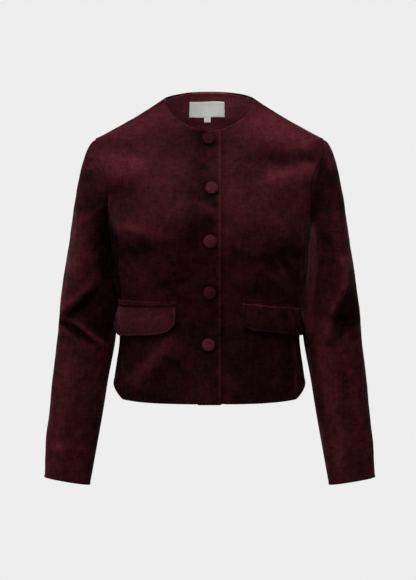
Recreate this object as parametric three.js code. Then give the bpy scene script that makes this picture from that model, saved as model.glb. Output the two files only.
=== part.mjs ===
// A fitted velveteen jacket, filled out as it is when worn, with nobody in it.
// Millimetres, +Z up. The front faces -Y and the wearer's left is +X.
// The origin lies midway between the two side neck points, where the shoulder seams meet the neck.
// The body is one rounded form that narrows at the waist; every panel is a cut of that form's skin,
// 2 mm thick, and each sleeve is a tube that grows out of the armhole on the same skin.
import * as THREE from "three";

// Driving sizes
const clothThickness = 2;
const seamGap = 0.3;
const neckHalfWidth = 77;
const frontNeckDrop = 51.5;
const frontNeckRound = 1.75;
const backNeckRise = 8;
const backNeckRound = 3;
const shoulderHalfWidth = 197;
const shoulderDrop = 70;
const shoulderHollow = 5;
const hemLevel = -513.5;
const armholeDepth = 225;
const armholeHalfDepth = 57;
const overlapHalf = 20;
const sideHemRise = 16;
const buttonRadius = 11.5;
const firstButtonDrop = 16;
const buttonPitch = 92;
const buttonSway = [-2, 4, 1, 0, -2];

// Sizes worked out from them
const shoulderReach = shoulderHalfWidth - neckHalfWidth;
const armholeMiddle = -(armholeDepth + shoulderDrop) / 2;
const armholeHalfHeight = (armholeDepth - shoulderDrop) / 2;
const halfGap = seamGap / 2;
const followFrom = 30;

// Points round a sleeve; the side panel's top edge has the same ones on its half of the armhole
const sleeveAround = 20;

// Half width of the body form below the shoulder points
const widthRows = [
  { z: -70, half: 197 },
  { z: -100, half: 211 },
  { z: -130, half: 205 },
  { z: -150, half: 198 },
  { z: -170, half: 190 },
  { z: -200, half: 180 },
  { z: -225, half: 176 },
  { z: -250, half: 172 },
  { z: -307, half: 168 },
  { z: -360, half: 160 },
  { z: -420, half: 158 },
  { z: -460, half: 163 },
  { z: -511, half: 171 },
];

// Depth of the body form in front of and behind the shoulder plane, and how square its section is
const depthRows = [
  { z: 6, front: 16, back: 58, round: 2 },
  { z: 0, front: 20, back: 62, round: 2 },
  { z: -20, front: 34, back: 72, round: 2.1 },
  { z: -55, front: 51, back: 86, round: 2.2 },
  { z: -100, front: 76, back: 99, round: 2.3 },
  { z: -150, front: 105, back: 108, round: 2.3 },
  { z: -205, front: 127, back: 110, round: 2.4 },
  { z: -300, front: 113, back: 95, round: 2.5 },
  { z: -374, front: 101, back: 83, round: 2.6 },
  { z: -450, front: 110, back: 100, round: 2.7 },
  { z: -511, front: 122, back: 112, round: 2.8 },
];

// Where the seams between the panels run, measured sideways from the middle
const seamRows = [
  { z: -213, front: 160, back: 152 },
  { z: -300, front: 155, back: 139 },
  { z: -374, front: 150, back: 129 },
  { z: -450, front: 152, back: 133 },
  { z: -511, front: 150, back: 138 },
];

// The sleeve below the armhole: outer and inner side, middle of its depth, depth, and its axis's slant
const sleeveRows = [
  { z: -248, outer: 244, inner: 173.4, y: 2, depth: 138, lean: 3, bend: 0 },
  { z: -305, outer: 254, inner: 169.2, y: 4, depth: 134, lean: 4, bend: 0 },
  { z: -361, outer: 262, inner: 161.4, y: 6, depth: 124, lean: 4, bend: 1 },
  { z: -417, outer: 267.5, inner: 165, y: 5, depth: 116, lean: 5, bend: 5 },
  { z: -487, outer: 275, inner: 178, y: -5, depth: 106, lean: 6.6, bend: 10 },
  { z: -543, outer: 281, inner: 187, y: -15, depth: 98, lean: 6.6, bend: 11 },
  { z: -599, outer: 287, inner: 197, y: -27, depth: 88, lean: 7.5, bend: 11 },
  { z: -668, outer: 291, inner: 209.5, y: -41, depth: 77, lean: 10, bend: 11 },
];

// The largest folds of the body, each along a straight line on the front or the back.
// A positive depth is a ridge and a negative one a trough.
const bodyFolds = [
  { face: -1, x1: 116, z1: -276, x2: 151, z2: -322, width: 9, depth: -3 },
  { face: -1, x1: 170, z1: -124, x2: 95, z2: -140, width: 12, depth: 3 },
  { face: -1, x1: 172, z1: -102, x2: 84, z2: -92, width: 11, depth: -3 },
  { face: -1, x1: -170, z1: -94, x2: -112, z2: -120, width: 12, depth: 3 },
  { face: -1, x1: -158, z1: -151, x2: -98, z2: -126, width: 11, depth: -3 },
  { face: -1, x1: -68, z1: -420, x2: -128, z2: -500, width: 18, depth: 4 },
  { face: 1, x1: 120, z1: -352, x2: 30, z2: -366, width: 12, depth: -4 },
  { face: 1, x1: -126, z1: -372, x2: -24, z2: -390, width: 12, depth: -4 },
  { face: 1, x1: 132, z1: -158, x2: 78, z2: -228, width: 13, depth: -3 },
  { face: 1, x1: -136, z1: -156, x2: -86, z2: -214, width: 13, depth: -3 },
];

// The largest folds of the sleeves, seen from in front or behind, with the arm's own side as +1 or -1
const sleeveFolds = [
  { arm: -1, face: -1, x1: 196, z1: -312, x2: 256, z2: -376, width: 14, depth: -6 },
  { arm: -1, face: -1, x1: 256, z1: -393, x2: 182, z2: -434, width: 12, depth: 6 },
  { arm: 1, face: -1, x1: 228, z1: -276, x2: 212, z2: -376, width: 13, depth: 6 },
  { arm: 1, face: -1, x1: 250, z1: -384, x2: 226, z2: -436, width: 15, depth: -6 },
  { arm: -1, face: 1, x1: 250, z1: -352, x2: 190, z2: -392, width: 13, depth: -5 },
  { arm: 1, face: 1, x1: 252, z1: -366, x2: 190, z2: -398, width: 13, depth: -5 },
];

const colours = {
  velveteen: { color: 0x4a1822, roughness: 0.9 },
  jet: { color: 0x42141d, roughness: 0.9 },
  button: { color: 0x551e29, roughness: 0.85 },
  facing: { color: 0x33101a, roughness: 0.9 },
  label: { color: 0xb9bcae, roughness: 0.8 },
};

// Reads one column of a table at a height, on a smooth curve through its rows
function along(rows, column, z) {
  const last = rows.length - 1;
  let i = 0;
  while (i < last - 1 && z < rows[i + 1].z) i += 1;
  const slopeAt = (k) => {
    const above = rows[Math.max(k - 1, 0)];
    const below = rows[Math.min(k + 1, last)];
    return (below[column] - above[column]) / (below.z - above.z);
  };
  const span = rows[i + 1].z - rows[i].z;
  const t = Math.min(1, Math.max(0, (z - rows[i].z) / span));
  return hermite(t, rows[i][column], rows[i + 1][column], slopeAt(i) * span, slopeAt(i + 1) * span);
}

// A cubic from one value to another that starts and ends with the given slopes
function hermite(t, from, to, startSlope, endSlope) {
  const rise = t * t * (3 - 2 * t);
  const start = t * (1 - t) * (1 - t);
  const end = -t * t * (1 - t);
  return from + (to - from) * rise + startSlope * start + endSlope * end;
}

function mix(from, to, t) {
  return from + (to - from) * t;
}

function smoothStep(t) {
  const s = Math.min(1, Math.max(0, t));
  return s * s * (3 - 2 * s);
}

function radians(degrees) {
  return (degrees * Math.PI) / 180;
}

function steps(count) {
  return Array.from({ length: count + 1 }, (_, k) => k / count);
}

// The shoulder line, slightly hollow, and the other way round. With s as the share of its drop,
// x = neck half width + reach * s - 4 * hollow * s * (1 - s).
function shoulderX(z) {
  const s = -z / shoulderDrop;
  return neckHalfWidth + shoulderReach * s - 4 * shoulderHollow * s * (1 - s);
}

function shoulderZ(x) {
  const start = shoulderReach - 4 * shoulderHollow;
  const root = Math.sqrt(start * start + 16 * shoulderHollow * (x - neckHalfWidth));
  return (-shoulderDrop * (root - start)) / (8 * shoulderHollow);
}

// The body form: a superellipse at each height, with its own depth in front and behind
function halfWidth(z) {
  return z > -shoulderDrop ? shoulderX(z) : along(widthRows, "half", z);
}

function formDepth(face, z) {
  return along(depthRows, face < 0 ? "front" : "back", z);
}

function formY(face, x, z) {
  const round = along(depthRows, "round", z);
  const rest = Math.max(0, 1 - Math.pow(Math.abs(x) / halfWidth(z), round));
  return face * formDepth(face, z) * Math.pow(rest, 1 / round);
}

function formX(face, y, z) {
  const round = along(depthRows, "round", z);
  const rest = Math.max(0, 1 - Math.pow(Math.abs(y) / formDepth(face, z), round));
  return halfWidth(z) * Math.pow(rest, 1 / round);
}

// The form's outward normal: the gradient of |x / half width|^round + |y / depth|^round
function formNormal(face, x, y, z) {
  const round = along(depthRows, "round", z);
  const share = (value, size) => Math.pow(Math.abs(value) / size, round);
  const sum = (level) => share(x, halfWidth(level)) + share(y, formDepth(face, level));
  const slope = (value, size) => (value === 0 ? 0 : (round * share(value, size)) / value);
  const upwards = sum(z + 0.5) - sum(z - 0.5);
  return new THREE.Vector3(slope(x, halfWidth(z)), slope(y, formDepth(face, z)), upwards).normalize();
}

// How fast a fold fades in from its ends, and the share of its depth that is left there
const foldFade = { rate: 5, start: 0.3 };

// How far a fold lifts the cloth at a place: a soft ridge or trough about the fold's line
function foldLift(fold, x, z) {
  const run = new THREE.Vector2(fold.x2 - fold.x1, fold.z2 - fold.z1);
  const length = run.length();
  const t = ((x - fold.x1) * run.x + (z - fold.z1) * run.y) / (length * length);
  const near = Math.min(1, Math.max(0, t));
  const gap = Math.hypot(x - fold.x1 - run.x * near, z - fold.z1 - run.y * near);
  const ends = smoothStep(Math.min(near, 1 - near) * foldFade.rate + foldFade.start);
  return fold.depth * ends * Math.exp(-((gap / fold.width) ** 2));
}

// A point of the body's cloth, lifted off its outer face along the form's normal
function onBody(face, x, y, z, lift) {
  const normal = formNormal(face, x, y, z);
  const facing = smoothStep((face * y) / 30);
  const folds = bodyFolds.filter((fold) => fold.face === face);
  const raised = folds.reduce((total, fold) => total + foldLift(fold, x, z) * facing, lift);
  return new THREE.Vector3(x, y, z).addScaledVector(normal, raised);
}

// A closed wall between two grids of points, joined round their edges. wraps closes each row on itself.
function wall(outer, inner, wraps = false) {
  const rows = outer.length;
  const columns = outer[0].length;
  const points = [...outer.flat(), ...inner.flat()];
  const at = (layer, row, column) => layer * rows * columns + row * columns + (column % columns);
  const index = [];
  const quad = (a, b, c, d) => index.push(a, b, c, a, c, d);
  const lastColumn = wraps ? columns : columns - 1;
  for (let r = 0; r < rows - 1; r += 1)
    for (let c = 0; c < lastColumn; c += 1) {
      quad(at(0, r, c), at(0, r, c + 1), at(0, r + 1, c + 1), at(0, r + 1, c));
      quad(at(1, r, c), at(1, r + 1, c), at(1, r + 1, c + 1), at(1, r, c + 1));
    }
  for (let c = 0; c < lastColumn; c += 1) {
    quad(at(0, 0, c), at(1, 0, c), at(1, 0, c + 1), at(0, 0, c + 1));
    quad(at(0, rows - 1, c), at(0, rows - 1, c + 1), at(1, rows - 1, c + 1), at(1, rows - 1, c));
  }
  if (!wraps)
    for (let r = 0; r < rows - 1; r += 1) {
      quad(at(0, r, 0), at(0, r + 1, 0), at(1, r + 1, 0), at(1, r, 0));
      quad(at(0, r, lastColumn), at(1, r, lastColumn), at(1, r + 1, lastColumn), at(0, r + 1, lastColumn));
    }
  return facingOut(points, index);
}

// A geometry from points and triangles, turned round if its faces point inwards
function facingOut(points, index) {
  const cross = new THREE.Vector3();
  let volume = 0;
  for (let i = 0; i < index.length; i += 3)
    volume += cross.crossVectors(points[index[i]], points[index[i + 1]]).dot(points[index[i + 2]]);
  const turned = volume < 0 ? index.slice().reverse() : index;
  const geometry = new THREE.BufferGeometry().setFromPoints(points);
  geometry.setIndex(turned);
  geometry.computeVertexNormals();
  return geometry;
}

// The armhole on the form's skin, by its angle: 0 at the shoulder, a quarter turn at the front, half a turn
// under the arm
function armhole(angle) {
  const z = armholeMiddle + armholeHalfHeight * Math.cos(angle);
  const spread = Math.cos(angle) > 0 ? 2 : 1;
  const y = armholeHalfDepth * Math.pow(Math.abs(Math.sin(angle)), spread);
  const face = Math.sin(angle) >= 0 ? -1 : 1;
  return { face, y: face * y, z, x: formX(face, y, z) };
}

// Sideways place of a front or back panel's outer edge: its seam below the armhole, then the armhole
function panelEdge(face, z) {
  const joint = armhole(face < 0 ? Math.PI / 2 : Math.PI * 1.5);
  if (z <= armholeMiddle) {
    const column = face < 0 ? "front" : "back";
    const rows = [{ z: armholeMiddle, [column]: joint.x }, ...seamRows];
    return along(rows, column, z);
  }
  const angle = Math.acos(Math.min(1, (z - armholeMiddle) / armholeHalfHeight));
  return armhole(face < 0 ? angle : 2 * Math.PI - angle).x;
}

// Height of a panel's top edge: the neckline, then the shoulder seam
function topEdge(face, x) {
  const across = Math.abs(x);
  if (across > neckHalfWidth) return shoulderZ(across);
  const share = across / neckHalfWidth;
  if (face > 0) return backNeckRise * (1 - Math.pow(share, backNeckRound));
  return -frontNeckDrop * Math.pow(1 - Math.pow(share, frontNeckRound), 1 / frontNeckRound);
}

// Rows of a front or back panel as heights above the hem, then as shares of the way up to its top edge
const straightRows = steps(16);
const yokeRows = steps(6).slice(1).map((t) => 1 - (1 - t) * (1 - t));

// One point of a panel. top is the column's place on the top edge; away from the middle, columns follow the
// panel's outer edge.
function panelPoint(face, top, row, lift, lowerHem = 0) {
  const straight = row < straightRows.length;
  const rise = straight ? 0 : yokeRows[row - straightRows.length];
  const hem = hemLevel - lowerHem;
  const low = straight ? mix(hem, armholeMiddle, straightRows[row]) : armholeMiddle;
  const past = (from) => Math.max(0, (Math.abs(top) - from) / (shoulderHalfWidth - from));
  const placed = top - Math.sign(top) * halfGap * past(neckHalfWidth);
  const z = mix(low, topEdge(face, placed), rise);
  const edgeLevel = straight ? low : mix(armholeMiddle, -shoulderDrop, rise);
  const x = placed + Math.sign(top) * (panelEdge(face, edgeLevel) - shoulderHalfWidth) * past(followFrom);
  const y = formY(face, x, z) + face * halfGap;
  return onBody(face, x, y, z, lift);
}

const panelRowCount = straightRows.length + yokeRows.length;
const shoulderTops = steps(5).slice(1).map((t) => mix(neckHalfWidth, shoulderHalfWidth, t));

// side is the front's own side; the right front (-1) buttons over the left (+1), which sinks behind it
function frontPanel(side) {
  const neckStart = Math.asin(followFrom / neckHalfWidth);
  const neckTops = steps(4).map((t) => neckHalfWidth * Math.sin(mix(neckStart, Math.PI / 2, t)));
  const tops = [-overlapHalf, 0, overlapHalf + 3, ...neckTops, ...shoulderTops];
  const sink = (top) => (side > 0 ? (clothThickness + 2 * seamGap) * smoothStep((followFrom - top) / 6) : 0);
  const lower = (top) => (side > 0 && top < overlapHalf ? 2 : 0);
  const grid = (lift) =>
    Array.from({ length: panelRowCount }, (_, row) =>
      tops.map((top) => panelPoint(-1, side * top, row, lift - sink(top), lower(top))),
    );
  return wall(grid(0), grid(-clothThickness));
}

const backNeckTops = steps(8).map((t) => neckHalfWidth * Math.sin(mix(-Math.PI / 2, Math.PI / 2, t)));
const backTops = [...shoulderTops.map((top) => -top).reverse(), ...backNeckTops, ...shoulderTops];

function backPanel() {
  const rows = Array.from({ length: panelRowCount }, (_, row) => row);
  const grid = (lift) => rows.map((row) => backTops.map((top) => panelPoint(1, top, row, lift)));
  return wall(grid(0), grid(-clothThickness));
}

// The angle round the form's section at which a sideways or a depth place lies
function angleOfX(x, z) {
  return Math.acos(Math.min(1, Math.pow(x / halfWidth(z), along(depthRows, "round", z) / 2)));
}

function angleOfY(face, y, z) {
  return Math.asin(Math.min(1, Math.pow(Math.abs(y) / formDepth(face, z), along(depthRows, "round", z) / 2)));
}

// The panel under the arm, from the front seam round to the back seam and up to the armhole
function sidePanel(side) {
  const across = sleeveAround / 2;
  const up = straightRows.length - 1;
  const point = (c, r, lift) => {
    const share = (2 * c) / across - 1;
    const face = share < 0 ? -1 : 1;
    const dip = Math.sin((share * Math.PI) / 2);
    const top = armholeMiddle - armholeHalfHeight * Math.sqrt(Math.max(0, 1 - dip * dip)) - halfGap;
    const z = mix(hemLevel + sideHemRise * (1 - share * share), top, r / up);
    const seamAngle = (level) => angleOfX(panelEdge(face, Math.min(level, armholeMiddle)) + halfGap, level);
    const edgeShare = angleOfY(face, armholeHalfDepth * Math.abs(dip), top) / seamAngle(top);
    const turn = mix(Math.abs(share), Math.min(1, edgeShare), (r / up) ** 2) * seamAngle(z);
    const round = along(depthRows, "round", z);
    const x = halfWidth(z) * Math.pow(Math.cos(turn), 2 / round);
    const y = face * formDepth(face, z) * Math.pow(Math.sin(turn), 2 / round);
    return onBody(face, side * x, y, z, lift);
  };
  const grid = (lift) =>
    Array.from({ length: up + 1 }, (_, r) =>
      Array.from({ length: across + 1 }, (__, c) => point(c, r, lift)),
    );
  return wall(grid(0), grid(-clothThickness));
}

// The sleeve

const capShares = [0, 0.07, 0.16, 0.27, 0.4, 0.54, 0.7, 0.86];
const elbowLevel = -440;
const cuffLevel = sleeveRows[sleeveRows.length - 1].z;
const sleeveTop = sleeveRows[0].z;
const sleeveLevels = [
  ...steps(12).map((t) => mix(sleeveTop, elbowLevel, t)),
  ...steps(8).slice(1).map((t) => mix(elbowLevel, cuffLevel, t)),
];

// The sleeve's section is a superellipse of this power, hardly squarer than an ellipse
const sleeveRound = 2.15;

// A point of the sleeve's oval section, square to the sleeve's slanted axis
function sleeveOval(angle, z) {
  const value = (column) => along(sleeveRows, column, z);
  const lean = radians(value("lean"));
  const bend = radians(value("bend"));
  const wide = Math.sign(Math.cos(angle)) * Math.abs(Math.cos(angle)) ** (2 / sleeveRound);
  const deep = Math.sign(Math.sin(angle)) * Math.abs(Math.sin(angle)) ** (2 / sleeveRound);
  const halfWide = (value("outer") - value("inner")) / 2;
  const middle = new THREE.Vector3((value("outer") + value("inner")) / 2, value("y"), z);
  const sideways = new THREE.Vector3(Math.cos(lean), 0, Math.sin(lean));
  const forwards = new THREE.Vector3(0, -Math.cos(bend), Math.sin(bend));
  return middle
    .addScaledVector(sideways, halfWide * wide)
    .addScaledVector(forwards, (value("depth") / 2) * deep);
}

// The sleeve head's curve leaves the armhole outwards, drooping by these degrees at the shoulder and under
// the arm, and arrives nearly straight down. leave and arrive are how firmly; outward is its last slant.
const headCurve = { shoulderDroop: 30, underarmDroop: 64, leave: 0.52, arrive: 1.05, outward: 0.17 };

// A point of the sleeve head, on a curve that leaves the armhole outwards and runs into the first oval
function sleeveHead(angle, share) {
  const edge = armhole(angle);
  const start = new THREE.Vector3(edge.x + seamGap, edge.y, edge.z);
  const end = sleeveOval(angle, sleeveTop);
  const reach = start.distanceTo(end);
  const underarm = (1 - Math.cos(angle)) / 2;
  const droop = radians(mix(headCurve.shoulderDroop, headCurve.underarmDroop, underarm));
  const leaving = new THREE.Vector3(Math.cos(droop), 0, -Math.sin(droop));
  const arriving = new THREE.Vector3(headCurve.outward, 0, -1);
  leaving.multiplyScalar(headCurve.leave * reach);
  arriving.multiplyScalar(headCurve.arrive * reach);
  const part = (axis) => hermite(share, start[axis], end[axis], leaving[axis], arriving[axis]);
  return new THREE.Vector3(part("x"), part("y"), part("z"));
}

// A fold pushes the cloth out from the sleeve's axis on one face, and spares the side next to the body
function foldedSleeve(side, angle, point) {
  const face = Math.sin(angle) > 0 ? -1 : 1;
  const facing = smoothStep(Math.abs(Math.sin(angle)) * 1.6) * smoothStep((Math.cos(angle) + 0.95) * 3);
  const folds = sleeveFolds.filter((fold) => fold.arm === side && fold.face === face);
  const lift = folds.reduce((total, fold) => total + foldLift(fold, point.x, point.z), 0) * facing;
  return point.clone().add(new THREE.Vector3(Math.cos(angle) * lift, -Math.sin(angle) * lift, 0));
}

function sleeve(side) {
  const angles = steps(sleeveAround).slice(0, -1).map((t) => t * 2 * Math.PI);
  const head = capShares.map((share) => angles.map((angle) => sleeveHead(angle, share)));
  const arm = sleeveLevels.map((z) => angles.map((angle) => foldedSleeve(side, angle, sleeveOval(angle, z))));
  const outer = [...head, ...arm];
  const inner = outer.map((ring, r) => ring.map((point, c) => insideSleeve(outer, r, c, angles[c])));
  const mirrored = (grid) => grid.map((ring) => ring.map((p) => new THREE.Vector3(side * p.x, p.y, p.z)));
  return wall(mirrored(outer), mirrored(inner), true);
}

// The inner face's point, one cloth thickness in. At the armhole the wall stands square to the sideways axis.
function insideSleeve(outer, row, column, angle) {
  const point = outer[row][column].clone();
  if (row === 0)
    return point.add(new THREE.Vector3(0, Math.sin(angle), -Math.cos(angle)).multiplyScalar(clothThickness));
  const next = outer[Math.min(row + 1, outer.length - 1)][column];
  const down = next.clone().sub(outer[row - 1][column]);
  const count = outer[row].length;
  const round = outer[row][(column + 1) % count].clone().sub(outer[row][(column + count - 1) % count]);
  return point.addScaledVector(down.cross(round).normalize(), clothThickness);
}

// The pockets: a jet over the pocket's slit and a flap under it, both laid on the skin of the body.
// jets and flaps are their heights at the inner and the outer end.

const pockets = [
  { name: "right", side: -1, inner: 58, top: -338.5, slope: 0.05, jets: [6.5, 10.5], flaps: [50, 56] },
  { name: "left", side: 1, inner: 56, top: -332, slope: 0.235, jets: [9, 5], flaps: [46.5, 49.5] },
];
const pocketOuterEnd = 156;
const flapCorners = { right: 22, left: 14 };
const flapThickness = 2.5;
const flapStandOff = { everywhere: 2, outerEnd: 6 };
const jetThickness = 1.4;
const pocketLift = 0.8;

// A place on the front of the form from the inner end of the pocket (0) to its outer end (1)
function pocketPoint(pocket, share, below, lift) {
  const level = pocket.top - pocket.slope * share * (pocketOuterEnd - pocket.inner) - below;
  const from = angleOfX(pocket.inner, level);
  const to = angleOfX(pocketOuterEnd, level);
  const turn = mix(from, to, share);
  const round = along(depthRows, "round", level);
  const x = pocket.side * halfWidth(level) * Math.pow(Math.cos(turn), 2 / round);
  const y = -formDepth(-1, level) * Math.pow(Math.sin(turn), 2 / round);
  return onBody(-1, x, y, level, lift);
}

function jetHeight(pocket, share) {
  return mix(...pocket.jets, share);
}

function jet(pocket) {
  const row = (down, lift) =>
    steps(12).map((share) => pocketPoint(pocket, share, down * jetHeight(pocket, share), lift));
  const grid = (lift) => [row(0, lift), row(1, lift)];
  return wall(grid(pocketLift + jetThickness), grid(pocketLift));
}

// The flap's lower corners are rounded, and it stands away from the body towards its lower outer corner
function flap(pocket) {
  const length = pocketOuterEnd - pocket.inner;
  const radius = flapCorners[pocket.name];
  const corner = radius / length;
  const ends = steps(3).map((t) => corner * (1 - Math.cos((t * Math.PI) / 2)));
  const middle = steps(6).slice(1, -1).map((t) => mix(corner, 1 - corner, t));
  const shares = [...ends, ...middle, ...ends.map((share) => 1 - share).reverse()];
  const cornerCut = (share) => {
    const into = Math.max(0, 1 - Math.min(share, 1 - share) / corner);
    return radius * (1 - Math.sqrt(1 - into * into));
  };
  const grid = (thickness) =>
    steps(4).map((down) =>
      shares.map((share) => {
        const drop = down * (mix(...pocket.flaps, share) - cornerCut(share));
        const away = down ** 1.5 * (flapStandOff.everywhere + flapStandOff.outerEnd * share ** 3);
        const below = jetHeight(pocket, share) + seamGap + drop;
        return pocketPoint(pocket, share, below, pocketLift + thickness + away);
      }),
    );
  return wall(grid(flapThickness), grid(0));
}

// The height on the middle of the front that lies a distance down from the neck edge along the cloth
function frontLevel(distance) {
  let z = -frontNeckDrop;
  for (let walked = 0; walked < distance; z -= 1)
    walked += Math.hypot(1, formY(-1, 0, z - 1) - formY(-1, 0, z));
  return z;
}

const buttonBack = { radius: 9, height: 1.8 };
const buttonDome = 4;

// A cloth-covered button: a shallow dome over a tapered back, turned about its own axis
function button(number) {
  const x = buttonSway[number];
  const z = frontLevel(firstButtonDrop + number * buttonPitch);
  const crown = steps(4).slice(1).map((t) => {
    const angle = mix(0.25, Math.PI / 2, t);
    const radius = t < 1 ? buttonRadius * Math.cos(angle) : 0;
    return new THREE.Vector2(radius, buttonBack.height + buttonDome * Math.sin(angle));
  });
  const profile = [
    new THREE.Vector2(0, 0),
    new THREE.Vector2(buttonBack.radius, 0),
    new THREE.Vector2(buttonRadius, buttonBack.height),
    ...crown,
  ];
  const geometry = new THREE.LatheGeometry(profile, 16);
  const seat = onBody(-1, x, formY(-1, x, z), z, 2 * seamGap);
  const out = formNormal(-1, x, formY(-1, x, z), z);
  geometry.applyQuaternion(new THREE.Quaternion().setFromUnitVectors(new THREE.Vector3(0, 1, 0), out));
  geometry.translate(seat.x, seat.y, seat.z);
  return geometry;
}

// Inside the back of the neck: a facing of the same cloth, the woven label on it and the small tab below.
// All three follow the back panel's own rows and columns, moved in.
const facingHalf = backNeckTops[7];
const facingGap = 0.9;
const behindBack = clothThickness + facingGap;
const facingEnds = { left: -facingHalf, right: facingHalf };
const facing = { ...facingEnds, top: -3, bottom: -60, nearest: behindBack, thickness: 1 };
const onFacing = behindBack + facing.thickness + 2 * seamGap;
const label = { left: -36, right: 27, top: -9, bottom: -37, nearest: onFacing, thickness: 0.8 };
const tabTop = label.bottom - seamGap;
const tab = { left: -10, right: 2.5, top: tabTop, bottom: -48, nearest: onFacing, thickness: 0.6 };

const levelOfRow = (row) => panelPoint(1, 0, row, 0).z;

// The row of the back panel, counted in fractions, whose middle lies at a height
function rowAtLevel(level) {
  let row = straightRows.length;
  while (levelOfRow(row + 1) < level) row += 1;
  return row + (level - levelOfRow(row)) / (levelOfRow(row + 1) - levelOfRow(row));
}

// A place on the flat facets between the back panel's points
function onBackFacets(top, row, lift) {
  const column = backTops.findLastIndex((place) => place <= top + 1e-6);
  const next = Math.min(column + 1, backTops.length - 1);
  const low = Math.floor(row + 1e-6);
  const high = Math.min(low + 1, panelRowCount - 1);
  const across = next > column ? (top - backTops[column]) / (backTops[next] - backTops[column]) : 0;
  const along = (level) =>
    panelPoint(1, backTops[column], level, lift).lerp(panelPoint(1, backTops[next], level, lift), across);
  return along(low).lerp(along(high), row - low);
}

function insideBack({ left, right, top, bottom, nearest, thickness }) {
  const tops = [left, ...backTops.filter((place) => place > left + 1 && place < right - 1), right];
  const from = rowAtLevel(bottom);
  const to = rowAtLevel(top);
  const panelRows = Array.from({ length: panelRowCount }, (_, row) => row);
  const rows = [from, ...panelRows.filter((row) => row > from && row < to), to];
  const grid = (lift) => rows.map((row) => tops.map((place) => onBackFacets(place, row, lift)));
  return wall(grid(-nearest), grid(-nearest - thickness));
}

// The jacket

function piece(name, geometry, finish) {
  const material = new THREE.MeshStandardMaterial({ ...colours[finish], metalness: 0 });
  const mesh = new THREE.Mesh(geometry, material);
  mesh.name = name;
  return mesh;
}

const jacket = new THREE.Group();
jacket.add(piece("back", backPanel(), "velveteen"));
for (const [name, side] of [["right", -1], ["left", 1]]) {
  jacket.add(piece(`front_${name}`, frontPanel(side), "velveteen"));
  jacket.add(piece(`side_${name}`, sidePanel(side), "velveteen"));
  jacket.add(piece(`sleeve_${name}`, sleeve(side), "velveteen"));
}
for (const pocket of pockets) {
  jacket.add(piece(`jet_${pocket.name}`, jet(pocket), "jet"));
  jacket.add(piece(`flap_${pocket.name}`, flap(pocket), "velveteen"));
}
for (let number = 0; number < buttonSway.length; number += 1)
  jacket.add(piece(`button_${number + 1}`, button(number), "button"));
jacket.add(piece("back_neck_facing", insideBack(facing), "facing"));
jacket.add(piece("neck_label", insideBack(label), "label"));
jacket.add(piece("size_tab", insideBack(tab), "label"));

export default jacket;
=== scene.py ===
import math
import bpy
import numpy as np
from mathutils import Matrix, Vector


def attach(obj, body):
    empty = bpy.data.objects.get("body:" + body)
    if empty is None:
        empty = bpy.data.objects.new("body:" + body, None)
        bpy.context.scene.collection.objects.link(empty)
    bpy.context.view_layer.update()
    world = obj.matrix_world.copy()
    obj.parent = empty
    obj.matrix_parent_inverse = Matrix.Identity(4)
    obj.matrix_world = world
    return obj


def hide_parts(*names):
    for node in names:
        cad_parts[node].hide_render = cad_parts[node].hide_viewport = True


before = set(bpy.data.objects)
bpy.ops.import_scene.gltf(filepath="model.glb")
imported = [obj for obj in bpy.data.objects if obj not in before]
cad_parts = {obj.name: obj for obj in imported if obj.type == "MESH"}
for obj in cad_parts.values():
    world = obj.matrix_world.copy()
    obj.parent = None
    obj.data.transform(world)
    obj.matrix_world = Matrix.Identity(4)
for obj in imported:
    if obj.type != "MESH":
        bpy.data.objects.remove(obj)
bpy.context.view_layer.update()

# A fitted velveteen jacket, filled out as it is when worn. Shapes are worked out in millimetres, in the
# frame's own axes: the front faces -Y, the wearer's left is +X, and the origin lies midway between the two
# side neck points.
MM = 0.001

# Driving sizes, the same as the solids have
CLOTH = 2.0
NECK_HALF = 77.0
FRONT_NECK_DROP = 51.5
FRONT_NECK_ROUND = 1.75
BACK_NECK_RISE = 8.0
BACK_NECK_ROUND = 3.0
SHOULDER_HALF = 197.0
SHOULDER_DROP = 70.0
SHOULDER_HOLLOW = 5.0
HEM = -513.5
SIDE_HEM_RISE = 16.0
ARMHOLE_DEPTH = 225.0
ARMHOLE_HALF_DEPTH = 57.0
OVERLAP = 20.0
FOLLOW_FROM = 30.0
BUTTON_RADIUS = 11.5
FIRST_BUTTON_DROP = 16.0
BUTTON_PITCH = 92.0
BUTTON_SWAY = (-2.0, 4.0, 1.0, 0.0, -2.0)
BUTTON_HEIGHT = 5.6
BUTTON_GAP = 0.6

# Sizes worked out from them
SHOULDER_REACH = SHOULDER_HALF - NECK_HALF
ARMHOLE_MIDDLE = -(ARMHOLE_DEPTH + SHOULDER_DROP) / 2
ARMHOLE_HALF_HEIGHT = (ARMHOLE_DEPTH - SHOULDER_DROP) / 2

# How fine the grids are: steps in millimetres, then counts
STEP = 3.0
POCKET_STEP = 1.8
FACING_STEP = 2.2
LABEL_STEP = 0.8
YOKE_ROWS = 54
HEAD_ROWS = 56
SLEEVE_AROUND = 132
BUTTON_AROUND = 64

# Width of what is turned under at the front edge, hem, neck and cuff, and the roundness of a finished edge
FRONT_TURN = 6.5
HEM_TURN = 5.5
NECK_TURN = 4.6
CUFF_TURN = 5.0
EDGE_ROUND = 1.3

# How light the nap is painted, from 0 for dark to about 1, with painted highlights and painted shade in it:
# on the body, on each button and on the sleeves. The falls are painted shade lower down: a height, the run
# below it and how much.
NAP_GROUND = 0.36
PAINTED_SHADE_FALLS = ((-225, 30, 0.14), (-362, 40, 0.16))
BUTTON_SHADING = (0.16, 0.58, 0.68, 0.36, 0.64)
SLEEVE_GROUND = 0.3


def table(columns, rows):
    """Rows of numbers as one array for each named column."""
    return dict(zip(columns.split(), np.array(rows, float).T))


def grouped(columns, groups):
    """The same from rows in groups; each group's key gives the first columns of its rows."""
    return table(columns, [(*key, *row) for key, rows in groups.items() for row in rows])


# The two faces, and the wearer's two sides
FRONT, BACK = -1, 1
RIGHT, LEFT = -1, 1

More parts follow.
